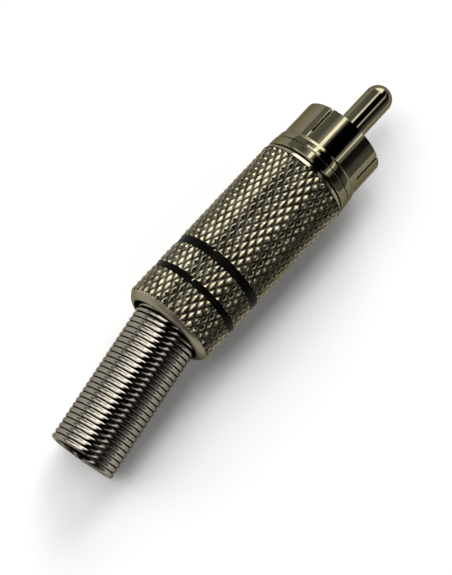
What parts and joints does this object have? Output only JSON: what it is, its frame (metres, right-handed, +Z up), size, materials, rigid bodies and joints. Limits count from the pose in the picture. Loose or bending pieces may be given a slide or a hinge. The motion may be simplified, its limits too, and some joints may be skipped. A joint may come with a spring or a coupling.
{
  "type": "rca plug",
  "caption": "Metal phono plug with a slotted outer contact, a diamond-knurled screw-on barrel, two black bands and a close-wound spring strain relief.",
  "frame": {"origin": "on the plug's axis, in the plane of the outer contact's front rim, which butts against the socket's panel", "axes": "+X along the axis, the way the centre pin points; +Z up, with the plug lying on its barrel; the loose spring lies over towards -Y and down to the table"},
  "size_m": [0.0535, 0.0119, 0.011],
  "materials": {
    "barrel_metal": "bright nickel plate over a knurled brass barrel",
    "contact_metal": "bright nickel plate, turned",
    "spring_metal": "bright plated spring wire",
    "tag_metal": "tinned sheet, stamped",
    "black_enamel": "black enamel with small nicks",
    "insulator_plastic": "moulded black plastic",
    "liner_plastic": "thin white plastic tube"
  },
  "bodies": {
    "contact_assembly": {"outer_contact": "contact_metal", "insulator": "insulator_plastic", "insulating_washer": "insulator_plastic", "centre_pin": "contact_metal", "ground_tag": "tag_metal"},
    "strain_relief": {"strain_relief_spring": "spring_metal", "insulating_liner": "liner_plastic"},
    "barrel": {"barrel": "barrel_metal", "front_colour_band": "black_enamel", "rear_colour_band": "black_enamel"}
  },
  "joints": [
    {"name": "barrel_travel", "type": "slide", "parent": "contact_assembly", "child": "strain_relief", "axis": [-1, 0, 0], "range_m": [0, 0.0049]},
    {"name": "barrel_unscrew", "type": "hinge", "parent": "strain_relief", "child": "barrel", "pos_m": [-0.018, 0, 0], "axis": [-1, 0, 0], "range_deg": [0, 2340]}
  ],
  "couplings": [
    {"joint": "barrel_travel", "follows": "barrel_unscrew", "m_per_rad": 0.00011937}
  ]
}
